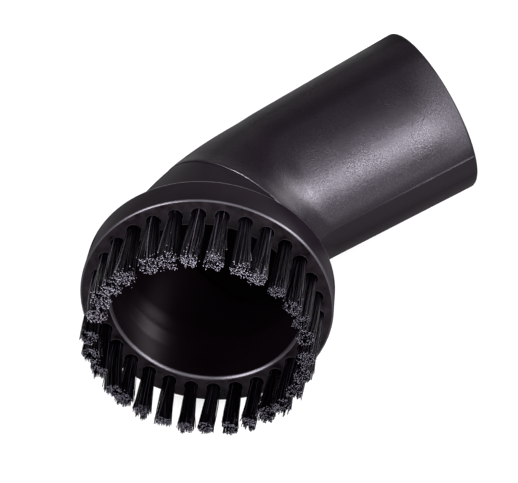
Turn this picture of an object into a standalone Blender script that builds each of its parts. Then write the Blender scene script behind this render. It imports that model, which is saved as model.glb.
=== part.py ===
"""Small round vacuum dusting brush: a hollow moulded elbow with a ring of bristle tufts.

Metres, +Z up. The brush lies on its side as it comes to rest, bristles facing -Y.
Head frame: origin in the middle of the bristle face, +Z out of the face along the
bristles, the tube leaving towards +X. One empty turns the head frame into the rest pose.
"""
import math

import bpy
import bmesh
from mathutils import Matrix, Vector

# Head: a flat ring that holds the tufts
HEAD_R = 0.0288          # outer radius of the ring
BAND_H = 0.0076          # height of the ring behind the face
BAND_DRAFT = 0.0002      # how much smaller the back edge of the ring is
FACE_EDGE = 0.0004       # rounding of the outer edge of the face
BACK_EDGE = 0.0003       # rounding of the back edge of the ring
MOUTH_R = 0.0220         # radius of the suction opening in the face
INNER_LIP = 0.0009       # rounding of the opening's edge

# Elbow: a bent and tapered pipe swept behind the ring
NECK = 0.0007            # short straight piece between ring and bend
BEND_ANGLE = math.radians(60.0)
BEND_R = 0.0376          # radius of the bend, on its centre line
STRAIGHT = 0.0370        # straight tube after the bend
COLLAR_R = 0.0249        # radius where the collar meets the ring
COLLAR_LEN = 0.0351      # length along the path over which the collar narrows
COLLAR_POW = 1.18
COLLAR_FILLET = 0.0010   # rounding between collar and ring
END_R = 0.0207           # outer radius at the open end of the tube
TUBE_TAPER = 0.0314      # change of radius along the tube, a 1.7 degree draft
END_LIP = 0.0009         # rounding of the tube's outer end edge
BORE_LIP = 0.0006        # rounding of the bore's end edge

# The line where the smooth collar ends and the grained tube begins
SEAM_SHIFT = 0.00275     # distance of its plane from the bend's middle plane
SEAM_W = 0.00045         # width of the groove
SEAM_D = 0.00022         # depth of the groove
GRAIN_STEP = 0.00012     # how far the grained surface stands above the smooth one

# Inside: socket for the wand, its stop, the bent passage and the bell
BORE_R = 0.0180          # socket radius at the open end, for a 35 mm wand
BORE_TAPER = 0.0176      # the socket narrows towards its stop
SOCKET_DEPTH = 0.0340
STOP_W = 0.0008          # width of the shoulder that stops the wand
WALL = 0.0025            # wall of the collar behind the bell
LEDGE_SHIFT = 0.0033     # plane of the small ledge where tube and collar meet inside
LEDGE_W = 0.0005         # width of that ledge
BELL_DEPTH = 0.0127      # depth of the faint ring where the bell begins to narrow
BELL_STEP = 0.00025      # height of that ring

# Bristles
TUFTS = 30
TUFT_INSET = 0.0038      # from the outside of the ring to the middle of the tufts
TUFT_RING_R = HEAD_R - TUFT_INSET
TUFT_TURN = 0.2          # first tuft's place, in spacings from the tube side
HOLE_R = 0.00155         # tuft hole in the face
HOLE_DEPTH = 0.0058
TUFT_GAP = 0.0003        # clearance round the root of a tuft
TUFT_FOOT_R = 0.00148    # radius just above the face, where the bristles spread
SPREAD = 0.0006          # height over which they spread from the hole
TUFT_TIP_R = 0.0019
TUFT_OUT = 0.0154        # free length of the bristles
TUFT_LEAN = math.radians(3.4)   # the tufts lean inwards a little
ANCHOR_T = 0.00035       # metal anchor that pins a folded tuft
ANCHOR_H = 0.0012
FOLD = 0.0007            # bristle fold under the anchor
WAIST = 0.75             # the anchor pinches the bundle to this share of its width

SIDES = 60               # segments round the ring and the pipe
HOLE_SIDES = 12
TUFT_SIDES = 8


def clear_scene():
    for ob in list(bpy.data.objects):
        bpy.data.objects.remove(ob, do_unlink=True)


def collection(name):
    col = bpy.data.collections.new(name)
    bpy.context.scene.collection.children.link(col)
    return col


def material(name, colour, metallic, rough):
    mat = bpy.data.materials.new(name)
    mat.use_nodes = True
    bsdf = mat.node_tree.nodes["Principled BSDF"]
    bsdf.inputs["Base Color"].default_value = (*colour, 1.0)
    bsdf.inputs["Metallic"].default_value = metallic
    bsdf.inputs["Roughness"].default_value = rough
    mat.diffuse_color = (*colour, 1.0)
    return mat


def new_object(name, bm, mat, col):
    bmesh.ops.recalc_face_normals(bm, faces=bm.faces[:])
    mesh = bpy.data.meshes.new(name)
    bm.to_mesh(mesh)
    bm.free()
    mesh.materials.append(mat)
    ob = bpy.data.objects.new(name, mesh)
    col.objects.link(ob)
    return ob


# The path of the elbow. s runs from the back of the ring to the open end of the tube.
BEND_LEN = BEND_R * BEND_ANGLE
PATH = NECK + BEND_LEN + STRAIGHT
TANGENT = BEND_R * math.tan(BEND_ANGLE / 2)
AXES_MEET = Vector((0.0, 0.0, -(BAND_H + NECK + TANGENT)))


def frame_at(s):
    """Centre of the path, direction across it in the bend's plane, direction along it."""
    if s <= NECK:
        turn = 0.0
    else:
        turn = min((s - NECK) / BEND_R, BEND_ANGLE)
    across = Vector((math.cos(turn), 0.0, math.sin(turn)))
    along = Vector((math.sin(turn), 0.0, -math.cos(turn)))
    centre = Vector((BEND_R * (1 - math.cos(turn)), 0.0,
                     -BAND_H - min(s, NECK) - BEND_R * math.sin(turn)))
    centre = centre + along * max(0.0, s - NECK - BEND_LEN)
    return centre, across, along


def outer_r(s):
    tube = END_R - TUBE_TAPER * (PATH - s)
    flare = max(0.0, 1 - s / COLLAR_LEN) ** COLLAR_POW
    return tube + (COLLAR_R - tube) * flare


SOCKET_END = PATH - SOCKET_DEPTH
PASSAGE_R = BORE_R - BORE_TAPER * SOCKET_DEPTH - STOP_W


def inner_r(s):
    """Passage and bell: from the stop's bore out to the wall of the collar."""
    bell = outer_r(0.0) - WALL
    x = min(1.0, max(0.0, s / SOCKET_END))
    return bell + (PASSAGE_R - bell) * (1 - (1 - x) ** 1.35)


def on_pipe(s, r, u):
    centre, across, _ = frame_at(s)
    return centre + (across * math.cos(u) + Vector((0, 1, 0)) * math.sin(u)) * r


def plane_place(start, normal, radius, u):
    """Where the line of the pipe's wall at angle u crosses a plane."""
    low, high = 0.0, PATH
    for _ in range(40):
        mid = (low + high) / 2
        if (on_pipe(mid, radius(mid), u) - start).dot(normal) > 0:
            low = mid
        else:
            high = mid
    return (low + high) / 2


HALF_TURN = Vector((-math.sin(BEND_ANGLE / 2), 0.0, math.cos(BEND_ANGLE / 2)))
FACE_WAY = Vector((0.0, 0.0, 1.0))


def mixed(a, b, x):
    return a + (b - a) * x


def body_rings():
    """Rings of points from the opening in the face, round the outside and back inside."""
    us = [2 * math.pi * i / SIDES for i in range(SIDES)]
    rings = []

    def flat_ring(r, z):
        rings.append([Vector((r * math.cos(u), r * math.sin(u), z)) for u in us])

    # inner lip, face, outer lip, band and its back
    for i in range(4):
        a = math.radians(90 * i / 3)
        flat_ring(MOUTH_R + INNER_LIP * (1 - math.cos(a)), -INNER_LIP * (1 - math.sin(a)))
    for i in range(5):
        a = math.radians(90 * i / 4)
        flat_ring(HEAD_R - FACE_EDGE * (1 - math.sin(a)), -FACE_EDGE * (1 - math.cos(a)))
    back_r = HEAD_R - BAND_DRAFT
    for i in range(3):
        a = math.radians(90 * i / 2)
        flat_ring(back_r - BACK_EDGE * (1 - math.cos(a)),
                  -BAND_H + BACK_EDGE * (1 - math.sin(a)))
    # fillet into the collar
    for i in range(3):
        a = math.radians(90 * i / 2)
        s = COLLAR_FILLET * (1 - math.cos(a))
        r = outer_r(s) + COLLAR_FILLET * (1 - math.sin(a))
        rings.append([on_pipe(s, r, u) for u in us])

    seam_at = AXES_MEET + HALF_TURN * SEAM_SHIFT
    seam = [plane_place(seam_at, HALF_TURN, outer_r, u) for u in us]
    first = COLLAR_FILLET
    for i in range(1, 7):
        rings.append([on_pipe(mixed(first, e - SEAM_W / 2, i / 6),
                              outer_r(mixed(first, e - SEAM_W / 2, i / 6)), u)
                      for u, e in zip(us, seam)])
    rings.append([on_pipe(e, outer_r(e) - SEAM_D, u) for u, e in zip(us, seam)])

    def grained(s):
        return outer_r(s) + GRAIN_STEP

    bend_end = NECK + BEND_LEN
    for i in range(9):
        rings.append([on_pipe(mixed(e + SEAM_W / 2, bend_end, i / 8),
                              grained(mixed(e + SEAM_W / 2, bend_end, i / 8)), u)
                      for u, e in zip(us, seam)])
    for i in range(5):
        a = math.radians(90 * i / 4)
        s = PATH - END_LIP * (1 - math.sin(a))
        rings.append([on_pipe(s, grained(s) - END_LIP * (1 - math.cos(a)), u) for u in us])
    # bore, from the open end inwards
    for i in range(3):
        a = math.radians(90 * i / 2)
        rings.append([on_pipe(PATH - BORE_LIP * (1 - math.cos(a)),
                              BORE_R + BORE_LIP * (1 - math.sin(a)), u) for u in us])
    rings.append([on_pipe(SOCKET_END, BORE_R - BORE_TAPER * SOCKET_DEPTH, u) for u in us])
    rings.append([on_pipe(SOCKET_END, PASSAGE_R, u) for u in us])
    # bent passage back to the ledge, the widening part, the faint ring and the bell
    ledge_at = AXES_MEET + HALF_TURN * LEDGE_SHIFT
    ledge = [plane_place(ledge_at, HALF_TURN, inner_r, u) for u in us]
    bell = [plane_place(FACE_WAY * -BELL_DEPTH, FACE_WAY, inner_r, u) for u in us]
    for i in range(1, 6):
        rings.append([on_pipe(mixed(SOCKET_END, e, i / 5), inner_r(mixed(SOCKET_END, e, i / 5)), u)
                      for u, e in zip(us, ledge)])
    for i in range(3):
        rings.append([on_pipe(mixed(e, b, i / 2),
                              inner_r(mixed(e, b, i / 2)) + LEDGE_W * (1 - i / 2), u)
                      for u, e, b in zip(us, ledge, bell)])
    for i in range(2):
        rings.append([on_pipe(mixed(b, 0.0, i), inner_r(mixed(b, 0.0, i)) + BELL_STEP * (1 - i), u)
                      for u, b in zip(us, bell)])
    return rings


def make_body(mat, col, cut_col):
    bm = bmesh.new()
    rings = [[bm.verts.new(p) for p in ring] for ring in body_rings()]
    n = len(rings)
    for j in range(n):
        a, b = rings[j], rings[(j + 1) % n]
        for i in range(SIDES):
            k = (i + 1) % SIDES
            bm.faces.new((a[i], a[k], b[k], b[i]))
    body = new_object("brush_body", bm, mat, col)

    bm = bmesh.new()
    for i in range(TUFTS):
        u = 2 * math.pi * (i + TUFT_TURN) / TUFTS
        place = Matrix.Translation((TUFT_RING_R * math.cos(u), TUFT_RING_R * math.sin(u),
                                    -HOLE_DEPTH / 2 + 0.001))
        place = place @ Matrix.Rotation(u, 4, "Z")
        bmesh.ops.create_cone(bm, cap_ends=True, segments=HOLE_SIDES, radius1=HOLE_R,
                              radius2=HOLE_R, depth=HOLE_DEPTH + 0.002, matrix=place)
    cutter = new_object("tuft_holes_cut", bm, mat, cut_col)
    cutter.hide_render = True
    cutter.display_type = "WIRE"
    cut = body.modifiers.new("tuft_holes", "BOOLEAN")
    cut.operation = "DIFFERENCE"
    cut.solver = "EXACT"
    cut.object = cutter
    return body, cutter


def tuft_matrix(i):
    """Root of a tuft in the face, local +X pointing outwards and +Z along the bristles."""
    u = 2 * math.pi * (i + TUFT_TURN) / TUFTS
    return (Matrix.Translation((TUFT_RING_R * math.cos(u), TUFT_RING_R * math.sin(u), 0.0))
            @ Matrix.Rotation(u, 4, "Z"))


def make_tuft(name, mat, col, cut_col):
    """One folded bundle with its anchor: waist and fold in the hole, cut tips outside."""
    root_r = HOLE_R - TUFT_GAP
    bottom = -HOLE_DEPTH + TUFT_GAP
    pinch = bottom + FOLD + ANCHOR_H / 2
    levels = [(bottom, root_r * 0.55), (bottom + FOLD * 0.6, root_r * 0.9),
              (pinch, root_r * WAIST), (pinch + ANCHOR_H, root_r), (0.0, root_r),
              (SPREAD, TUFT_FOOT_R),
              (TUFT_OUT - 0.0005, TUFT_TIP_R), (TUFT_OUT, TUFT_TIP_R * 0.88)]
    bm = bmesh.new()
    rings = []
    for z, r in levels:
        lean = -math.tan(TUFT_LEAN) * max(0.0, z)
        rings.append([bm.verts.new((lean + r * math.cos(2 * math.pi * i / TUFT_SIDES),
                                    r * math.sin(2 * math.pi * i / TUFT_SIDES), z))
                      for i in range(TUFT_SIDES)])
    for a, b in zip(rings, rings[1:]):
        for i in range(TUFT_SIDES):
            k = (i + 1) % TUFT_SIDES
            bm.faces.new((a[i], a[k], b[k], b[i]))
    bm.faces.new(rings[0])
    bm.faces.new(rings[-1])
    tuft = new_object(name, bm, mat, col)

    bm = bmesh.new()
    bmesh.ops.create_cube(bm, size=1.0, matrix=Matrix.Translation((0, 0, pinch))
                          @ Matrix.Diagonal((ANCHOR_T, 2 * root_r, ANCHOR_H, 1.0)))
    plate = new_object("anchor_plate", bm, mat, cut_col)
    plate.hide_render = True
    plate.display_type = "WIRE"
    join = tuft.modifiers.new("anchor", "BOOLEAN")
    join.operation = "UNION"
    join.solver = "EXACT"
    join.object = plate
    bpy.context.view_layer.update()
    dep = bpy.context.evaluated_depsgraph_get()
    folded = bpy.data.meshes.new_from_object(tuft.evaluated_get(dep))
    tuft.modifiers.clear()
    tuft.data = folded
    return tuft, plate


def rest_matrix(points, heavy):
    """Turn the head frame so that the brush lies as it settles on its side.

    The touching faces of the hull of all points are tried, and the stable one
    nearest the tube's and ring's sides is taken as the floor.
    """
    bm = bmesh.new()
    for p in points:
        bm.verts.new(p)
    bmesh.ops.remove_doubles(bm, verts=bm.verts[:], dist=1e-6)
    bmesh.ops.convex_hull(bm, input=bm.verts[:])
    wanted = Vector((-0.237, -0.912, -0.336)).normalized()
    best, best_fit = wanted, -2.0
    for f in bm.faces:
        down = f.normal.normalized()
        if down.dot(wanted) < 0.85:
            continue
        drop = heavy + down * (f.verts[0].co - heavy).dot(down)
        corners = [v.co for v in f.verts]
        inside = True
        for i in range(len(corners)):
            edge = corners[(i + 1) % len(corners)] - corners[i]
            if edge.cross(drop - corners[i]).dot(down) < 0:
                inside = False
        if inside and down.dot(wanted) > best_fit:
            best, best_fit = down, down.dot(wanted)
    bm.free()
    up = -best
    front = Vector((0, 0, 1)) - up * up.z
    front.normalize()
    y = -front
    x = y.cross(up)
    turn = Matrix((x, y, up)).to_4x4()
    low = [turn @ p for p in points]
    mid = [(min(p[k] for p in low) + max(p[k] for p in low)) / 2 for k in (0, 1)]
    return Matrix.Translation((-mid[0], -mid[1], -min(p.z for p in low))) @ turn


def weight_centre(meshes):
    """Centre of the solids' volume from signed tetrahedra."""
    total, centre = 0.0, Vector((0, 0, 0))
    for mesh, place in meshes:
        mesh.calc_loop_triangles()
        for t in mesh.loop_triangles:
            a, b, c = (place @ mesh.vertices[v].co for v in t.vertices)
            v = a.dot(b.cross(c)) / 6
            total += v
            centre += (a + b + c) * (v / 4)
    return centre / total


def main():
    clear_scene()
    scene = bpy.context.scene
    scene.unit_settings.system = "METRIC"
    col = collection("dusting_brush")
    cut_col = collection("dusting_brush_cutters")

    plastic = material("body_plastic", (0.030, 0.028, 0.034), 0.0, 0.42)
    hair = material("bristle_black", (0.016, 0.013, 0.020), 0.0, 0.45)

    head = bpy.data.objects.new("head_frame", None)
    col.objects.link(head)

    body, cutter = make_body(plastic, col, cut_col)
    first, plate = make_tuft("tuft_01", hair, col, cut_col)
    tufts = [first]
    for i in range(1, TUFTS):
        ob = bpy.data.objects.new("tuft_%02d" % (i + 1), first.data)
        col.objects.link(ob)
        tufts.append(ob)
    for i, ob in enumerate(tufts):
        ob.matrix_local = tuft_matrix(i)
    parts = [body] + tufts

    bpy.context.view_layer.update()
    dep = bpy.context.evaluated_depsgraph_get()
    solid = body.evaluated_get(dep).to_mesh()
    meshes = [(solid, Matrix.Identity(4))] + [(t.data, tuft_matrix(i))
                                              for i, t in enumerate(tufts)]
    heavy = weight_centre(meshes)
    points = [m @ v.co for mesh, m in meshes for v in mesh.vertices]
    head.matrix_world = rest_matrix(points, heavy)
    body.evaluated_get(dep).to_mesh_clear()

    for ob in parts + [cutter, plate]:
        ob.parent = head
    for ob in parts:
        ob.data.shade_smooth()
        ob.data.set_sharp_from_angle(angle=math.radians(32))


main()
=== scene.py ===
import math
import random

import bmesh
import bpy
from mathutils import Matrix, Vector


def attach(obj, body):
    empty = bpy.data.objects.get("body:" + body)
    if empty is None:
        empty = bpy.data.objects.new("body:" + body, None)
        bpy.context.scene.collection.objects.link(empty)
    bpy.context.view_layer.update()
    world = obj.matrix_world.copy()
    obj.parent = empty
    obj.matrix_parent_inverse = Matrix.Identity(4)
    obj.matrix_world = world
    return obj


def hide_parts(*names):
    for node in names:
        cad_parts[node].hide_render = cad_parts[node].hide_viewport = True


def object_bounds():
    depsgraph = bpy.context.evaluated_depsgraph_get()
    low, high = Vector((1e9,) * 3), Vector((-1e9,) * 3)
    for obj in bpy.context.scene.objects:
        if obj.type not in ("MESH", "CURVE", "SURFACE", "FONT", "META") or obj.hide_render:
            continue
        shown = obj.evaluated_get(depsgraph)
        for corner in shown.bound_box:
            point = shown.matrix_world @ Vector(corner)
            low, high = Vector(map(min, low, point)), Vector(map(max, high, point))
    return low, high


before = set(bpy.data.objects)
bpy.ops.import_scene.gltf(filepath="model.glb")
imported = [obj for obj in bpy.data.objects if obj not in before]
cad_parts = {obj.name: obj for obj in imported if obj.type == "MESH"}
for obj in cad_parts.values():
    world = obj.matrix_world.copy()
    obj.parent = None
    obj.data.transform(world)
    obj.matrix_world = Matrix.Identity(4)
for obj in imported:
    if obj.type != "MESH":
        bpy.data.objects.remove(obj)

CAD_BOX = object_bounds()

# The head frame: origin in the middle of the bristle face, +Z out along the bristles, the
# tube leaving towards +X. This matrix turns it into the rest pose, as in the solids.
HEAD = Matrix(((0.9667222, -0.2558283, 0.0, -0.0157011),
               (0.0888313, 0.3356750, -0.9377800, -0.0269369),
               (0.2399106, 0.9065728, 0.3472300, 0.0293227),
               (0.0, 0.0, 0.0, 1.0)))

# Ring, in metres; all sizes follow the solids, with finer edges
HEAD_R = 0.02874          # outer radius
BAND_H = 0.0076           # height behind the face
BAND_DRAFT = 0.0002       # how much smaller the back edge is
FACE_EDGE = 0.00042       # bevel of the outer edge of the face
BACK_EDGE = 0.0003        # rounding of the back edge
MOUTH_R = 0.02181         # radius of the suction opening in the face
INNER_LIP = 0.00066       # bevel of the opening's edge
BEVEL_POW = 2.2           # how flat the slope of a bevel is in its middle

# Elbow, measured along its path from the ring to the open end
NECK = 0.0007             # short straight piece between ring and bend
BEND_ANGLE = math.radians(60.0)
BEND_R = 0.0376           # radius of the bend, on its centre line
STRAIGHT = 0.0370         # straight tube after the bend
COLLAR_R = 0.0249         # radius where the collar meets the ring
COLLAR_LEN = 0.0351       # length over which the collar narrows
COLLAR_POW = 1.18
COLLAR_FILLET = 0.0010    # rounding between collar and ring
END_R = 0.02066           # outer radius at the open end
TUBE_TAPER = 0.0314       # change of radius along the tube
END_LIP = 0.0009          # rounding of the outer end edge
BORE_LIP = 0.0006         # rounding of the bore's end edge
SEAM_SHIFT = 0.00275      # distance of the seam's plane from the bend's middle plane
SEAM_W = 0.00055          # width of the groove
SEAM_D = 0.00045          # depth of the groove
SEAM_ROUND = 0.0004       # rounding of the tube's edge at the groove
GRAIN_STEP = 0.00012      # how far the grained surface stands above the smooth one
PARTING = math.radians(-11.0)     # where the mould's parting line runs along the tube
RIDGE_W = 0.00016         # half width of that raised line
RIDGE_H = 0.00007         # its height near the open end
RIDGE_LEAST = 0.2         # share of the height that it keeps near the bend
RIDGE_START = 0.026       # distance from the open end at which it begins to rise
RIDGE_RUN = 0.014         # length over which it would rise by its whole height

# Inside
BORE_R = 0.0180           # socket radius at the open end
BORE_TAPER = 0.0176       # the socket narrows towards its stop
SOCKET_DEPTH = 0.0340
STOP_W = 0.0008           # width of the shoulder that stops the wand
STOP_EDGE = 0.0001        # chamfer of the shoulder
WALL = 0.0025             # wall of the collar behind the bell
PASSAGE_POW = 1.35        # how fast the bell narrows to the passage
LEDGE_SHIFT = 0.0033      # plane of the small ledge where tube and collar meet inside
LEDGE_W = 0.0005          # width of that ledge
LEDGE_SLOPE = 0.0002      # length along the path that it takes
BELL_DEPTH = 0.0127       # depth of the faint ring where the bell begins to narrow
BELL_STEP = 0.00006       # height of that ring
BELL_SLOPE = 0.00015      # length along the path that it takes

# Mesh: segments round ring and pipe, then steps between the rings of points
SIDES = 240
LEAST_TURN = 0.0012       # smallest angle that is kept between two segments, in radians
SHARP_ANGLE = math.radians(30)
BEVEL_STEPS, ROUND_STEPS, FILLET_STEPS, END_STEPS = 12, 4, 5, 8
FACE_STEPS, COLLAR_STEPS, BEND_STEPS, TUBE_STEPS = 6, 14, 18, 9
SOCKET_STEPS, PASSAGE_STEPS, BELL_STEPS, MOUTH_STEPS = 6, 14, 7, 4
BEND_CROWD = 1.15         # how much closer the bend's rings stand near the seam
HALVINGS = 40             # of the stretch in which a plane's place is searched

# Tufts and their holes
TUFTS = 30
TUFT_RING_R = 0.0250      # radius of the circle that they stand on
TUFT_TURN = 0.2           # first tuft's place, in spacings from the tube side
TUFT_TIP_R = 0.00192      # radius of a tuft at its tips
TUFT_OUT = 0.0154         # free length of the bristles
TUFT_LEAN = math.radians(3.4)     # they lean inwards a little
HOLE_R = 0.00155
HOLE_DEPTH = 0.0058
HOLE_SIDES = 32           # segments round a hole
CUTTER_TOP = 0.0008       # how far the hole's cutter stands out of the face
CUTTER_TOP_R = HOLE_R + 0.00022
CHAMFER_R = HOLE_R + 0.00016      # chamfer in the rim of a hole
CHAMFER_H = 0.00012       # half its height
RIM_FOOT_R = HOLE_R + 0.00042     # raised rim round a hole, a low cone
RIM_TOP_R = HOLE_R + 0.00020
RIM_H = 0.00060
RIM_MIDDLE = -0.00018
# radius and height of the points along the cutter
HOLE_PROFILE = ((0.0, CUTTER_TOP), (CUTTER_TOP_R, CUTTER_TOP), (CHAMFER_R, CHAMFER_H),
                (HOLE_R, -CHAMFER_H), (HOLE_R, -HOLE_DEPTH), (0.0, -HOLE_DEPTH))

# The elbow's materials, by their place in its list
SMOOTH, GRAIN, INSIDE, FACE, FINE, LIP, BELL, PAINTED_EDGE = range(8)

BEND_LEN = BEND_R * BEND_ANGLE
BEND_END = NECK + BEND_LEN
PATH = BEND_END + STRAIGHT
SOCKET_END = PATH - SOCKET_DEPTH
PASSAGE_R = BORE_R - BORE_TAPER * SOCKET_DEPTH - STOP_W
AXES_MEET = Vector((0.0, 0.0, -(BAND_H + NECK + BEND_R * math.tan(BEND_ANGLE / 2))))
HALF_TURN = Vector((-math.sin(BEND_ANGLE / 2), 0.0, math.cos(BEND_ANGLE / 2)))
SEAM_AT = AXES_MEET + HALF_TURN * SEAM_SHIFT
LEDGE_AT = AXES_MEET + HALF_TURN * LEDGE_SHIFT
FACE_WAY = Vector((0.0, 0.0, 1.0))
TUBE_WAY = Vector((math.sin(BEND_ANGLE), 0.0, -math.cos(BEND_ANGLE)))


# ---------------------------------------------------------------- elbow and ring
def frame_at(s):
    """Centre of the path and direction across it in the bend's plane."""
    turn = 0.0 if s <= NECK else min((s - NECK) / BEND_R, BEND_ANGLE)
    across = Vector((math.cos(turn), 0.0, math.sin(turn)))
    along = Vector((math.sin(turn), 0.0, -math.cos(turn)))
    centre = Vector((BEND_R * (1 - math.cos(turn)), 0.0,
                     -BAND_H - min(s, NECK) - BEND_R * math.sin(turn)))
    return centre + along * max(0.0, s - BEND_END), across


def outer_r(s):
    """Radius of collar and tube, without the grain."""
    tube = END_R - TUBE_TAPER * (PATH - s)
    flare = max(0.0, 1 - s / COLLAR_LEN) ** COLLAR_POW
    return tube + (COLLAR_R - tube) * flare


def inner_r(s):
    """Radius of bell and passage, up to the shoulder."""
    bell = outer_r(0.0) - WALL
    x = min(1.0, max(0.0, s / SOCKET_END))
    return bell + (PASSAGE_R - bell) * (1 - (1 - x) ** PASSAGE_POW)


def skin_r(s, u):
    """Radius of the grained tube, with the fine raised line of the parting on each side."""
    ridge = 0.0
    for line in (PARTING, PARTING + math.pi):
        off = abs((u - line + math.pi) % (2 * math.pi) - math.pi) * outer_r(s)
        ridge = max(ridge, RIDGE_H * max(0.0, 1 - off / RIDGE_W))
    ridge *= min(1.0, RIDGE_LEAST + max(0.0, s - PATH + RIDGE_START) / RIDGE_RUN)
    return outer_r(s) + GRAIN_STEP + ridge


def on_pipe(s, r, u):
    """The point at distance s along the path, radius r and angle u round it."""
    centre, across = frame_at(s)
    return centre + (across * math.cos(u) + Vector((0, 1, 0)) * math.sin(u)) * r


def plane_place(start, normal, radius, u):
    """Where along the path the pipe's wall at angle u meets a plane."""
    low, high = 0.0, PATH
    for _ in range(HALVINGS):
        mid = (low + high) / 2
        if (on_pipe(mid, radius(mid), u) - start).dot(normal) > 0:
            low = mid
        else:
            high = mid
    return (low + high) / 2


def mixed(a, b, x):
    return a + (b - a) * x


def shares(steps):
    """Even steps from 0 to 1, with both ends."""
    return [i / steps for i in range(steps + 1)]


def quarter(steps):
    """The angles of a quarter turn, from 0 to 90 degrees."""
    return [math.radians(90 * i / steps) for i in range(steps + 1)]


def bevel(size):
    """A soft bevel from the face, (0, 0), to the wall, (size, size): a slope with rounded ends."""
    points, w, h = [(0.0, 0.0)], 0.0, 0.0
    for i in range(BEVEL_STEPS):
        x = 2 * (i + 0.5) / BEVEL_STEPS - 1
        turn = math.radians(45 + 45 * math.copysign(abs(x) ** BEVEL_POW, x))
        w, h = w + math.cos(turn), h + math.sin(turn)
        points.append((w, h))
    return [(a * size / w, b * size / h) for a, b in points]


def body_rings(us):
    """Rings of points and the material of the band of faces after each ring."""
    rings, kinds = [], []

    def add(points, kind):
        rings.append(points)
        kinds.append(kind)

    def flat_ring(r, z, kind):
        add([Vector((r * math.cos(u), r * math.sin(u), z)) for u in us], kind)

    def pipe_ring(places, radius, kind):
        """A ring on the pipe, at its own place along the path for each angle."""
        add([on_pipe(s, radius(s, u), u) for u, s in zip(us, places)], kind)

    def everywhere(s):
        return [s] * len(us)

    # mouth edge, face, outer edge of the face and back edge of the ring
    # the bevels of the mouth edge and of the face's outer edge take the lip material, whose
    # lighter colour paints a highlight line on them
    edge = bevel(INNER_LIP)
    for i, (w, h) in enumerate(reversed(edge)):
        flat_ring(MOUTH_R + INNER_LIP - w, -h, LIP if i < len(edge) - 1 else FACE)
    for x in shares(FACE_STEPS)[1:-1]:
        flat_ring(mixed(MOUTH_R + INNER_LIP, HEAD_R - FACE_EDGE, x), 0.0, FACE)
    edge = bevel(FACE_EDGE)
    for i, (w, h) in enumerate(edge):
        flat_ring(HEAD_R - FACE_EDGE + w, -h, LIP if i < len(edge) - 1 else SMOOTH)
    back_r = HEAD_R - BAND_DRAFT
    # the first rings of the back edge's rounding take the light grey edge material, a painted
    # highlight line
    for a, kind in zip(quarter(ROUND_STEPS), (PAINTED_EDGE, PAINTED_EDGE, PAINTED_EDGE, SMOOTH, SMOOTH)):
        flat_ring(back_r - BACK_EDGE * (1 - math.cos(a)), -BAND_H + BACK_EDGE * (1 - math.sin(a)),
                  kind)

    # collar and seam
    for a in quarter(FILLET_STEPS):
        pipe_ring(everywhere(COLLAR_FILLET * (1 - math.cos(a))),
                  lambda s, u: outer_r(s) + COLLAR_FILLET * (1 - math.sin(a)), SMOOTH)
    seam = [plane_place(SEAM_AT, HALF_TURN, outer_r, u) for u in us]
    for x in shares(COLLAR_STEPS)[1:]:
        pipe_ring([mixed(COLLAR_FILLET, e - SEAM_W / 2, x) for e in seam],
                  lambda s, u: outer_r(s), SMOOTH)
    pipe_ring(seam, lambda s, u: outer_r(s) - SEAM_D, SMOOTH)

    # grained tube and open end
    for a, kind in zip(quarter(ROUND_STEPS), (SMOOTH, SMOOTH, GRAIN, GRAIN, GRAIN)):
        pipe_ring([e + SEAM_W / 2 + SEAM_ROUND * (1 - math.cos(a)) for e in seam],
                  lambda s, u: skin_r(s, u) - SEAM_ROUND * (1 - math.sin(a)), kind)
    for x in shares(BEND_STEPS)[1:]:
        pipe_ring([mixed(e + SEAM_W / 2 + SEAM_ROUND, BEND_END, x ** BEND_CROWD) for e in seam],
                  skin_r, GRAIN)
    for x in shares(TUBE_STEPS)[1:-1]:
        pipe_ring(everywhere(mixed(BEND_END, PATH - END_LIP, x)), skin_r, GRAIN)
    # one ring of the open end's rounding takes the lip material and two take the light grey edge,
    # both painting a highlight line
    end_kinds = 4 * (GRAIN,) + (LIP, PAINTED_EDGE, PAINTED_EDGE, SMOOTH, SMOOTH)
    for a, kind in zip(quarter(END_STEPS), end_kinds):
        pipe_ring(everywhere(PATH - END_LIP * (1 - math.sin(a))),
                  lambda s, u: skin_r(s, u) - END_LIP * (1 - math.cos(a)), kind)

    # socket and shoulder
    for a in quarter(ROUND_STEPS):
        pipe_ring(everywhere(PATH - BORE_LIP * (1 - math.cos(a))),
                  lambda s, u: BORE_R + BORE_LIP * (1 - math.sin(a)), INSIDE)
    for x in shares(SOCKET_STEPS)[1:]:
        pipe_ring(everywhere(mixed(PATH - BORE_LIP, SOCKET_END, x)),
                  lambda s, u: BORE_R - BORE_TAPER * (PATH - s), INSIDE)
    pipe_ring(everywhere(SOCKET_END), lambda s, u: PASSAGE_R + STOP_EDGE, INSIDE)
    pipe_ring(everywhere(SOCKET_END - STOP_EDGE), lambda s, u: PASSAGE_R, INSIDE)

    # passage, ledge and bell, back to the mouth
    ledge = [plane_place(LEDGE_AT, HALF_TURN, inner_r, u) for u in us]
    bell = [plane_place(FACE_WAY * -BELL_DEPTH, FACE_WAY, inner_r, u) for u in us]
    for x in shares(PASSAGE_STEPS)[1:]:
        pipe_ring([mixed(SOCKET_END - STOP_EDGE, e, x) for e in ledge],
                  lambda s, u: inner_r(s), INSIDE)
    for x in shares(BELL_STEPS):
        pipe_ring([mixed(e - LEDGE_SLOPE, b, x) for e, b in zip(ledge, bell)],
                  lambda s, u: inner_r(s) + LEDGE_W * (1 - x), BELL)
    for x in shares(MOUTH_STEPS):
        pipe_ring([mixed(b - BELL_SLOPE, 0.0, x) for b in bell],
                  lambda s, u: inner_r(s) + BELL_STEP * (1 - x), BELL)
    return rings, kinds


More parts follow.
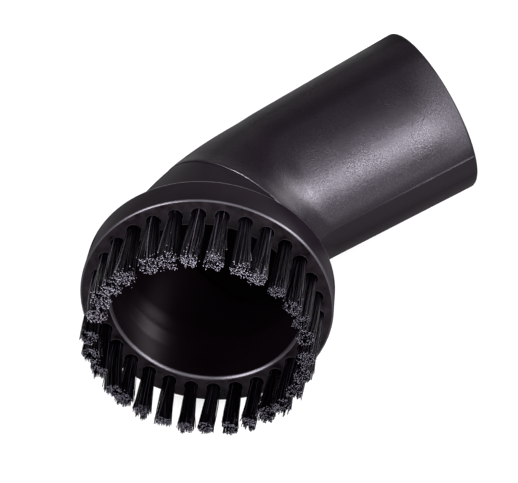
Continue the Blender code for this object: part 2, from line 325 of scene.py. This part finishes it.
def sample_angles():
    """Even steps round the pipe, with a few extra ones at the parting lines."""
    us = [2 * math.pi * i / SIDES for i in range(SIDES)]
    for line in (PARTING, PARTING + math.pi):
        for off in (-1.0, -0.5, 0.0, 0.5, 1.0):
            us.append((line + off * RIDGE_W / END_R) % (2 * math.pi))
    us = sorted(us)
    keep = [us[0]]
    for u in us[1:]:
        if u - keep[-1] > LEAST_TURN:
            keep.append(u)
    return keep


def link_object(name, data):
    ob = bpy.data.objects.new(name, data)
    bpy.context.scene.collection.objects.link(ob)
    return ob


def new_piece(name, bm, materials):
    mesh = bpy.data.meshes.new(name)
    bm.to_mesh(mesh)
    bm.free()
    for mat in materials:
        mesh.materials.append(mat)
    return link_object(name, mesh)


def revolve(bm, place, profile, sides):
    """A closed solid of revolution about local Z; the profile starts and ends on the axis."""
    rows = []
    for r, z in profile:
        if r == 0.0:
            rows.append([bm.verts.new(place @ Vector((0, 0, z)))])
        else:
            rows.append([bm.verts.new(place @ Vector((r * math.cos(2 * math.pi * i / sides),
                                                      r * math.sin(2 * math.pi * i / sides), z)))
                         for i in range(sides)])
    made = []
    for a, b in zip(rows, rows[1:]):
        for i in range(sides):
            k = (i + 1) % sides
            if len(a) == 1:
                made.append(bm.faces.new((a[0], b[i], b[k])))
            elif len(b) == 1:
                made.append(bm.faces.new((a[i], b[0], a[k])))
            else:
                made.append(bm.faces.new((a[i], b[i], b[k], a[k])))
    bmesh.ops.recalc_face_normals(bm, faces=made)


def tuft_angle(number):
    return 2 * math.pi * (number + TUFT_TURN) / TUFTS


def tuft_place(number):
    u = tuft_angle(number)
    return Matrix.Translation((TUFT_RING_R * math.cos(u), TUFT_RING_R * math.sin(u), 0.0))


def make_elbow(materials):
    """The whole moulding, one closed skin with the tuft holes cut in, in the rest pose."""
    us = sample_angles()
    rings, kinds = body_rings(us)
    bm = bmesh.new()
    rows = [[bm.verts.new(p) for p in ring] for ring in rings]
    for j, kind in enumerate(kinds):
        a, b = rows[j], rows[(j + 1) % len(rows)]
        for i in range(len(us)):
            k = (i + 1) % len(us)
            f = bm.faces.new((a[i], a[k], b[k], b[i]))
            middle = (us[i] + us[k]) / 2 if k else us[i]
            below = math.sin(middle - PARTING) < 0
            f.material_index = FINE if kind == GRAIN and below else kind
            f.smooth = True
    bmesh.ops.recalc_face_normals(bm, faces=bm.faces[:])
    elbow = new_piece("elbow_and_ring", bm, materials)

    # raised rims round the tuft holes, then the holes with a small chamfer
    rim, holes = bmesh.new(), bmesh.new()
    for number in range(TUFTS):
        place = tuft_place(number)
        bmesh.ops.create_cone(rim, cap_ends=True, segments=HOLE_SIDES, radius1=RIM_FOOT_R,
                              radius2=RIM_TOP_R, depth=RIM_H,
                              matrix=place @ Matrix.Translation((0, 0, RIM_MIDDLE)))
        revolve(holes, place, HOLE_PROFILE, HOLE_SIDES)
    # the rims take the lip material, with its lighter colour that paints highlight arcs round the
    # holes
    for part, kind in ((rim, LIP), (holes, INSIDE)):
        for f in part.faces:
            f.material_index = kind
    rims = new_piece("rims_cut", rim, materials)
    cuts = new_piece("holes_cut", holes, materials)
    for other, how in ((rims, "UNION"), (cuts, "DIFFERENCE")):
        step = elbow.modifiers.new(how.lower(), "BOOLEAN")
        step.operation = how
        step.solver = "EXACT"
        step.object = other
    bpy.context.view_layer.update()
    dep = bpy.context.evaluated_depsgraph_get()
    done = bpy.data.meshes.new_from_object(elbow.evaluated_get(dep))
    elbow.modifiers.clear()
    elbow.data = done
    for ob in (rims, cuts):
        bpy.data.objects.remove(ob, do_unlink=True)
    done.transform(HEAD)
    done.shade_smooth()
    done.set_sharp_from_angle(angle=SHARP_ANGLE)
    return elbow


# ---------------------------------------------------------------- bristles
FILAMENTS = 170           # in each tuft
FILAMENT_R = 0.000114
THICKNESS = (0.82, 1.14)  # range of a filament's radius, as a share
CUT_END = 0.94            # share of its radius that it keeps at its cut end
CORNERS = 4               # of a filament's cross section
LEVELS = (0.0, 0.16, 0.40, 0.70, 0.995, 1.0)    # shares of the length with a ring of points
SIDE, END = range(2)      # the two materials of a filament
GOLDEN_TURN = math.pi * (3 - math.sqrt(5))
PACKING = 0.46            # a half would pack them evenly
ROOT_GAP = 0.00020        # between the outer roots and the hole's wall
ROOT_DEPTH = 0.0012
EXTRA_LEN = 0.0002        # how far the mean cut lies past the solid's end
MOST_EXTRA = 0.0008       # and the longest filament
EDGE_GAP = 0.00015        # how far the tips stay inside the solids' box
STRAIGHT_SHARE = 0.55     # the rest of the spread grows with the square of the height

# How the tufts and their filaments vary; a scatter is the deviation of a random value
SEED = 4100               # plus the tuft's number
UPPER_SHARE = (0.07, 0.43)        # shares of the ring between which the tufts stand free
LOOSE_UPPER, LOOSE_LOWER = 1.2, 0.55    # how loosely the filaments of the two kinds stand
FAN = 0.97                # width of a tuft's tips, as a share
FAN_LOOSE = 0.075         # what looseness adds to it
FAN_SCATTER = 0.04
TILT_OUT, TILT_SIDE = 0.014, 0.026      # scatter of a whole tuft's lean, as slopes
CLUMPS = 9                # in each tuft
CLUMP_PLACES = (0.2, 1.0)         # range of their distance from its axis, as a share
CLUMP_SCATTER = 0.00052   # of their length
ANGLE_SCATTER = 0.12      # of a filament's direction, in radians
SPREAD_SCATTER = 0.07     # of its distance from the axis, as a share
CUT_SCATTER = 0.00045     # of what is cut off its length
TIP_SCATTER = 0.00023
BOW_SCATTER = 0.00016
STRAY_SHARE = 0.11        # filaments that stick out of a tuft
STRAY_OUT = (1.1, 1.35)   # range of their spread, as a share
STRAY_TURN = 0.3          # scatter of their direction, in radians
STRAY_SHORT = 0.0016      # the most by which they are shorter


def is_upper(number):
    """Whether a tuft is on the half of the ring that the brush doesn't lie on."""
    return TUFTS * UPPER_SHARE[0] < number < TUFTS * UPPER_SHARE[1]


def held_in(root, tip):
    """The tip pressed up where it would pass the floor, and cut short at the solids' box."""
    low, high = Vector(CAD_BOX[0]), Vector(CAD_BOX[1])
    tip = tip.copy()
    tip.z = max(tip.z, low.z + EDGE_GAP)
    share = 1.0
    for k in range(3):
        for bound in (low[k] + EDGE_GAP, high[k] - EDGE_GAP):
            if (tip[k] - bound) * (root[k] - bound) < 0:
                share = min(share, (bound - root[k]) / (tip[k] - root[k]))
    return root + (tip - root) * share


def filament_ends(rnd, n, clumps, loose, fan, tilt):
    """Root and tip of one filament, in the frame of its tuft."""
    rad = ((n + 0.5) / FILAMENTS) ** PACKING
    ang = n * GOLDEN_TURN + rnd.gauss(0, ANGLE_SCATTER)
    root_r = rad * (HOLE_R - ROOT_GAP)
    root = Vector((root_r * math.cos(ang), root_r * math.sin(ang), -ROOT_DEPTH))
    spread = rad * TUFT_TIP_R * fan * (1 + rnd.gauss(0, SPREAD_SCATTER * loose))
    # neighbours lie in clumps that were cut to much the same length
    x, y = rad * math.cos(ang), rad * math.sin(ang)
    cut = min(clumps, key=lambda c: (x - c[1] * math.cos(c[0])) ** 2
              + (y - c[1] * math.sin(c[0])) ** 2)[2]
    length = TUFT_OUT + EXTRA_LEN + cut - abs(rnd.gauss(0, CUT_SCATTER * loose))
    if rnd.random() < STRAY_SHARE * loose:
        spread *= rnd.uniform(*STRAY_OUT)
        ang += rnd.gauss(0, STRAY_TURN)
        length -= STRAY_SHORT * rnd.random()
    length = min(length, TUFT_OUT + MOST_EXTRA)
    tip = Vector((spread * math.cos(ang), spread * math.sin(ang), length))
    tip += tilt * length
    tip.x -= math.tan(TUFT_LEAN) * length
    tip.x += rnd.gauss(0, TIP_SCATTER * loose)
    tip.y += rnd.gauss(0, TIP_SCATTER * loose)
    return root, tip


def make_tuft(number, materials):
    """One tuft of single filaments that spread from the hole to unevenly cut tips."""
    rnd = random.Random(SEED + number)
    verts, faces, kinds = [], [], []
    tilt = Vector((rnd.gauss(0, TILT_OUT), rnd.gauss(0, TILT_SIDE), 0))
    loose = LOOSE_UPPER if is_upper(number) else LOOSE_LOWER
    fan = FAN + FAN_LOOSE * loose + rnd.gauss(0, FAN_SCATTER)
    clumps = [(rnd.uniform(0, 2 * math.pi), rnd.uniform(*CLUMP_PLACES),
               rnd.gauss(0, CLUMP_SCATTER)) for _ in range(CLUMPS)]
    place = HEAD @ (tuft_place(number) @ Matrix.Rotation(tuft_angle(number), 4, "Z"))
    turned = place.to_3x3()
    for n in range(FILAMENTS):
        root, tip = filament_ends(rnd, n, clumps, loose, fan, tilt)
        root, tip = place @ root, held_in(place @ root, place @ tip)
        bow = turned @ Vector((rnd.gauss(0, BOW_SCATTER), rnd.gauss(0, BOW_SCATTER), 0))
        radius = FILAMENT_R * rnd.uniform(*THICKNESS)
        twist = rnd.uniform(0, math.pi)
        outward = turned.transposed() @ (tip - root)
        outward.z = 0.0
        first = len(verts)
        for t in LEVELS:
            # straight up out of the hole, then spreading outwards
            ease = t * t * (1 - STRAIGHT_SHARE) + t * STRAIGHT_SHARE
            middle = (root + (tip - root) * t - turned @ outward * (t - ease)
                      + bow * math.sin(math.pi * t))
            r = radius * (CUT_END if t == 1.0 else 1.0)
            for q in range(CORNERS):
                a = twist + q * math.pi / 2
                verts.append(middle + turned @ Vector((r * math.cos(a), r * math.sin(a), 0)))
        rows = [range(k, k + CORNERS) for k in range(first, len(verts), CORNERS)]
        for a, b in zip(rows, rows[1:]):
            for q in range(CORNERS):
                k = (q + 1) % CORNERS
                faces.append((a[q], a[k], b[k], b[q]))
                kinds.append(SIDE)
        faces.append(tuple(rows[-1]))
        kinds.append(END)
        faces.append(tuple(reversed(rows[0])))
        kinds.append(SIDE)
    name = "bristle_tuft_%02d" % (number + 1)
    mesh = bpy.data.meshes.new(name)
    mesh.from_pydata([tuple(v) for v in verts], [], faces)
    for mat in materials:
        mesh.materials.append(mat)
    mesh.polygons.foreach_set("material_index", kinds)
    mesh.polygons.foreach_set("use_smooth", [kind == SIDE for kind in kinds])
    mesh.update()
    return link_object(name, mesh)


# ---------------------------------------------------------------- materials
# How the gloss falls from a square view, 0, to a glancing one, 1
GLOSS_FALL = ((0.10, 0.62), (0.20, 0.46), (0.24, 0.25), (0.29, 0.13), (0.48, 0.040),
              (0.56, 0.014), (0.70, 0.008), (0.92, 0.0))
GLOSS = GLOSS_FALL[0][1]
TINT = (0.92, 0.87, 1.0)  # colour of the reflections
WHITE = (1.0, 1.0, 1.0)
CLOUD_LOW, CLOUD_HIGH = 0.30, 0.70      # values of the noise between which the clouds change
CLOUD_LESS, CLOUD_MORE = 0.6, 0.8       # how far the roughness follows them down and up
SPECK_SIZE = 0.00030      # of the sparkle
SPECK_LOW, SPECK_HIGH = 0.36, 0.64
WAVE_SCALE = 160.0        # noise scale of the soft unevenness
RUBBED_LEN = 0.0085       # length of the worn zone at the open end
POLISH_LEN = 0.0045       # length of the smoother zone beside the seam
DULL_NEAR, DULL_FAR = 0.0062, 0.0172    # depths in the bell between which its gloss fades
NEAR_SHARE, FAR_SHARE = 2.1, 0.10       # of the gloss that there is at those depths


def add_node(tree, kind, inputs, operation=None):
    """A node whose inputs are given as values or as the sockets that feed them."""
    made = tree.nodes.new("ShaderNode" + kind)
    if operation:
        made.operation = operation
    for name, value in inputs.items():
        if isinstance(value, bpy.types.NodeSocket):
            tree.links.new(value, made.inputs[name])
        else:
            made.inputs[name].default_value = value
    return made


def noise(tree, place, scale, detail, **more):
    return add_node(tree, "TexNoise", {"Vector": place, "Scale": scale, "Detail": detail,
                                       **more}).outputs["Fac"]


def ramp(tree, value, stops):
    """A colour ramp through (position, colour) stops."""
    made = add_node(tree, "ValToRGB", {"Fac": value})
    elements = made.color_ramp.elements
    while len(elements) < len(stops):
        elements.new(0.5)
    for element, (at, colour) in zip(elements, stops):
        element.position = at
        element.color = (*colour, 1)
    return made.outputs["Color"]


def span(tree, value, low, high, at_low, at_high):
    """A straight line from (low, at_low) to (high, at_high), level beyond both."""
    return add_node(tree, "MapRange", {"Value": value, "From Min": low, "From Max": high,
                                       "To Min": at_low, "To Max": at_high}).outputs["Result"]


def maths(tree, operation, first, second):
    return add_node(tree, "Math", {0: first, 1: second}, operation).outputs[0]


def distance_along(tree, place, way):
    """How far a point of the piece lies along a direction of the rest pose."""
    return add_node(tree, "VectorMath", {0: place, 1: way}, "DOT_PRODUCT").outputs["Value"]


def bump(tree, height, distance, **more):
    return add_node(tree, "Bump", {"Height": height, "Strength": 1.0, "Distance": distance,
                                   **more}).outputs["Normal"]


def new_material(name, tint):
    mat = bpy.data.materials.new(name)
    mat.use_nodes = True
    bsdf = mat.node_tree.nodes["Principled BSDF"]
    bsdf.inputs["Specular Tint"].default_value = (*tint, 1)
    return mat, mat.node_tree, bsdf


def plastic(name, colour, rough, waves, grain=None, gloss=1.0, falling=True, cloud_size=0.011,
            cloudy=0.14, rubbed=0.0, sparkle=0.0, polish=0.0, dull_inside=False, tint=TINT):
    """Black moulded plastic: uneven gloss, a little colour change and a moulded texture.

    waves is the height of the soft unevenness, grain the size and height of the fine one.
    cloudy is the share by which the colour changes, rubbed the roughness added at the open end,
    sparkle and polish the shares by which the gloss varies in specks and grows at the seam.
    """
    mat, tree, bsdf = new_material(name, tint)
    place = add_node(tree, "TexCoord", {}).outputs["Object"]
    turn = HEAD.to_3x3()

    cloud = noise(tree, place, 1.0 / cloud_size, detail=4.0)
    shade = ramp(tree, cloud, ((CLOUD_LOW, [c * (1 - cloudy) for c in colour]),
                               (CLOUD_HIGH, [c * (1 + cloudy) for c in colour])))
    tree.links.new(shade, bsdf.inputs["Base Color"])

    roughness = span(tree, cloud, CLOUD_LOW, CLOUD_HIGH, rough * (1 - cloudy * CLOUD_LESS),
                     rough * (1 + cloudy * CLOUD_MORE))
    if rubbed:
        # the gloss wears away towards the open end of the tube
        way = turn @ TUBE_WAY
        end = way.dot(HEAD @ frame_at(PATH)[0])
        wear = span(tree, distance_along(tree, place, way), end - RUBBED_LEN, end, 0.0, rubbed)
        roughness = maths(tree, "ADD", roughness, wear)
    tree.links.new(roughness, bsdf.inputs["Roughness"])

    level = None
    bsdf.inputs["Specular IOR Level"].default_value = GLOSS * gloss
    if falling:
        # the skin of the moulding loses its gloss towards a glancing view
        facing = add_node(tree, "LayerWeight", {"Blend": 0.5}).outputs["Facing"]
        level = ramp(tree, facing, [(at, [value * gloss] * 3) for at, value in GLOSS_FALL])
    if sparkle:
        speck = noise(tree, place, 1.0 / SPECK_SIZE, detail=2.0)
        share = span(tree, speck, SPECK_LOW, SPECK_HIGH, 1 - sparkle, 1 + sparkle)
        level = maths(tree, "MULTIPLY", level, share)
    if polish:
        # the bend is smoother close to the seam
        across = turn @ HALF_TURN
        seam_at = across.dot(HEAD @ SEAM_AT)
        share = span(tree, distance_along(tree, place, across), seam_at - POLISH_LEN, seam_at,
                     1.0, 1 + polish)
        level = maths(tree, "MULTIPLY", level, share)
    if dull_inside:
        # the mould was polished less and less farther in from the mouth
        way = turn @ FACE_WAY
        mouth = way.dot(HEAD.translation)
        level = span(tree, distance_along(tree, place, way), mouth - DULL_FAR, mouth - DULL_NEAR,
                     GLOSS * gloss * FAR_SHARE, GLOSS * gloss * NEAR_SHARE)
    if level:
        tree.links.new(level, bsdf.inputs["Specular IOR Level"])

    normal = bump(tree, noise(tree, place, WAVE_SCALE, detail=2.0), waves)
    if grain:
        size, height = grain
        fine = noise(tree, place, 1.0 / size, detail=3.0, Roughness=0.62)
        normal = bump(tree, fine, height, Normal=normal)
    tree.links.new(normal, bsdf.inputs["Normal"])
    return mat


def bristle(name, low, high, rough, start=0.0, specular=0.5, tint=WHITE):
    """Nylon filaments whose colour changes from one to the next.

    The share start of them has the colour low; the rest run from there up to high.
    """
    mat, tree, bsdf = new_material(name, tint)
    island = add_node(tree, "NewGeometry", {}).outputs["Random Per Island"]
    tree.links.new(ramp(tree, island, ((start, low), (1.0, high))), bsdf.inputs["Base Color"])
    bsdf.inputs["Roughness"].default_value = rough
    bsdf.inputs["Specular IOR Level"].default_value = specular
    return mat


BLACK = (0.0060, 0.0035, 0.0063)
elbow_materials = {
    SMOOTH: plastic("satin_plastic", BLACK, 0.34, 0.00002, grain=(0.0009, 0.000006)),
    GRAIN: plastic("grained_plastic", BLACK, 0.27, 0.00002, grain=(0.00036, 0.00009), gloss=1.25,
                   rubbed=0.34, sparkle=0.26, polish=1.2),
    # socket, passage and tuft holes: darker than the black outside and almost without gloss,
    # painted shade in these hollows
    INSIDE: plastic("inner_plastic_painted_shade", (0.0020, 0.0014, 0.0020), 0.70, 0.00002, gloss=0.001,
                    falling=False),
    # inside the mouth: a colour darker than the black outside, painted shade in the bell
    BELL: plastic("bell_plastic_painted_shade", (0.0028, 0.0014, 0.0024), 0.34, 0.00002, gloss=0.06,
                  falling=False, dull_inside=True, tint=(1.0, 0.82, 0.96)),
    # the face between the tufts: a colour lighter than the black of the rest, painted light that
    # lifts its shade; its clouds are random tone
    FACE: plastic("face_plastic_painted_light", (0.0098, 0.0070, 0.0092), 0.42, 0.00004, grain=(0.0006, 0.00002),
                  gloss=0.18, cloud_size=0.0022, cloudy=0.8),
    FINE: plastic("fine_plastic", BLACK, 0.36, 0.00002, grain=(0.00035, 0.000014), gloss=0.9,
                  polish=1.6),
    # lips, rims round the holes and a ring of the open end's rounding: a colour lighter than the
    # black, painted highlight on these edges, beside a higher gloss
    LIP: plastic("lip_painted_highlight", (0.020, 0.017, 0.022), 0.33, 0.00001, grain=(0.0004, 0.00001),
                 gloss=1.5),
    # part of the ring's back edge and of the open end's rounding: a light grey that paints
    # highlight lines there
    PAINTED_EDGE: plastic("edge_painted_highlight", (0.048, 0.042, 0.050), 0.30, 0.00001, grain=(0.0004, 0.00001),
                  gloss=1.3, falling=False),
}
# upper tufts: sides and cut ends lighter than those of the lower tufts, painted light where it
# falls from above. In both kinds the cut ends are lighter than the sides, partly the cut faces'
# own look and partly painted highlight
upper_bristles_painted_lit = [
    bristle("bristle_sides_upper_painted_light", (0.0024, 0.0016, 0.0032), (0.085, 0.066, 0.100), 0.28,
            start=0.82, specular=0.20, tint=(0.90, 0.78, 1.0)),
    bristle("bristle_ends_upper_painted_light", (0.18, 0.165, 0.215), (0.58, 0.54, 0.66), 0.55),
]
# lower tufts: sides and cut ends darker than those of the upper tufts, painted shade
lower_bristles_painted_shaded = [
    bristle("bristle_sides_lower_painted_shade", (0.0012, 0.0008, 0.0016), (0.022, 0.016, 0.027), 0.26,
            start=0.86, specular=0.10, tint=(0.86, 0.70, 1.0)),
    bristle("bristle_ends_lower_painted_shade", (0.018, 0.016, 0.024), (0.27, 0.255, 0.33), 0.55, start=0.20),
]

elbow = make_elbow([elbow_materials[kind] for kind in sorted(elbow_materials)])
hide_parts("brush_body")
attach(elbow, "root")

# one kind of bristle, with lighter copies of its materials on the upper tufts and darker ones on
# the lower: painted light and painted shade
for number in range(TUFTS):
    tuft = make_tuft(number, upper_bristles_painted_lit if is_upper(number) else lower_bristles_painted_shaded)
    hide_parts("tuft_%02d" % (number + 1))
    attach(tuft, "root")


# ---------------------------------------------------------------- floor, light, camera
FLOOR_COLOUR = (0.40, 0.40, 0.40, 1)
FLOOR_GLOW = 0.62         # lifts the floor to white for the camera
FLOOR_DROP = 0.0002       # keeps it clear of the part
FLOOR_SIDES = 64
# radius and height of the rings outwards from the edge of its flat middle
FLOOR_PROFILE = ((2.5, 0.0), (3.0, 0.08), (3.5, 0.30), (3.9, 0.65), (4.1, 1.05))
SKY_STRENGTH = 0.22
LIGHT_TARGET = Vector((0.0, 0.0, 0.03))
LIGHT_DISTANCE = 0.75

# the camera of the photograph, fitted to the outlines of ring and tube
CAMERA_AT = (0.052878, -0.281726, 0.448924)
CAMERA_AXES = Matrix(((0.993383, -0.003235, 0.114797),
                      (0.065107, 0.839304, -0.539751),
                      (-0.094604, 0.543654, 0.833961)))
SENSOR_MM = 36.0
FOCAL_PX, PHOTO_PX = 2200.0, 518.0


def add_camera_glow(tree, shader, strength, output):
    """Adds plain white light to what the camera, mirrors and glass see of a surface."""
    path = add_node(tree, "LightPath", {}).outputs
    mirrored = maths(tree, "MAXIMUM", path["Is Glossy Ray"], path["Is Transmission Ray"])
    seen = maths(tree, "MAXIMUM", path["Is Camera Ray"], mirrored)
    glow = add_node(tree, "Emission", {"Color": (1, 1, 1, 1), "Strength": strength}).outputs[0]
    lit = add_node(tree, "AddShader", {0: shader, 1: glow}).outputs[0]
    mix = add_node(tree, "MixShader", {"Fac": seen, 1: shader, 2: lit}).outputs[0]
    tree.links.new(mix, output)


def make_floor():
    """A wide floor whose edge curves up."""
    bm = bmesh.new()
    angles = [2 * math.pi * i / FLOOR_SIDES for i in range(FLOOR_SIDES)]
    rows = [[bm.verts.new((r * math.cos(a), r * math.sin(a), z)) for a in angles]
            for r, z in FLOOR_PROFILE]
    bm.faces.new(rows[0])
    for a, b in zip(rows, rows[1:]):
        for i in range(FLOOR_SIDES):
            k = (i + 1) % FLOOR_SIDES
            bm.faces.new((a[i], a[k], b[k], b[i])).smooth = True
    bmesh.ops.recalc_face_normals(bm, faces=bm.faces[:])
    mat, tree, bsdf = new_material("floor_white", WHITE)
    bsdf.inputs["Base Color"].default_value = FLOOR_COLOUR
    bsdf.inputs["Roughness"].default_value = 1.0
    bsdf.inputs["Specular IOR Level"].default_value = 0.0
    add_camera_glow(tree, bsdf.outputs[0], FLOOR_GLOW,
                    tree.nodes["Material Output"].inputs["Surface"])
    floor = new_piece("floor", bm, [mat])
    floor.location = (0, 0, -FLOOR_DROP)
    return floor


def soft_box(name, direction, along, size, power):
    """A soft light that faces the brush, size in metres and power in watts.

    Its direction and that of its width are given in the camera's right, up and backward axes.
    """
    way = (CAMERA_AXES @ Vector(direction)).normalized()
    data = bpy.data.lights.new(name, "AREA")
    data.shape = "RECTANGLE"
    data.size, data.size_y = size
    data.energy = power
    light = link_object(name, data)
    light.location = LIGHT_TARGET + way * LIGHT_DISTANCE
    across = CAMERA_AXES @ Vector(along)
    across = (across - way * across.dot(way)).normalized()
    turn = Matrix((across, way.cross(across), way)).transposed()
    light.rotation_euler = turn.to_euler()


floor = make_floor()

world = bpy.data.worlds.new("studio")
bpy.context.scene.world = world
world.use_nodes = True
sky = world.node_tree.nodes["Background"]
sky.inputs["Color"].default_value = (1, 1, 1, 1)
sky.inputs["Strength"].default_value = SKY_STRENGTH

camera_data = bpy.data.cameras.new("camera")
camera_data.sensor_width = SENSOR_MM
camera_data.lens = SENSOR_MM * FOCAL_PX / PHOTO_PX
camera_data.clip_start = 0.01
camera = link_object("camera", camera_data)
camera.matrix_world = Matrix.Translation(CAMERA_AT) @ CAMERA_AXES.to_4x4()
bpy.context.scene.camera = camera

soft_box("key", (0.736, 0.020, 0.688), (0.4622, 0.5514, -0.6947), (1.02, 0.24), 10.9)
soft_box("key_far", (0.851, 0.515, -0.104), (0.0, 0.0, 1.0), (0.26, 0.30), 6.0)
soft_box("front", (0.0, 0.208, 0.978), (1.0, 0.0, 0.0), (0.30, 0.30), 0.9)
soft_box("left", (-0.646, 0.008, 0.762), (0.0, 1.0, 0.0), (0.38, 0.38), 7.0)

bpy.context.scene.view_settings.view_transform = "Standard"
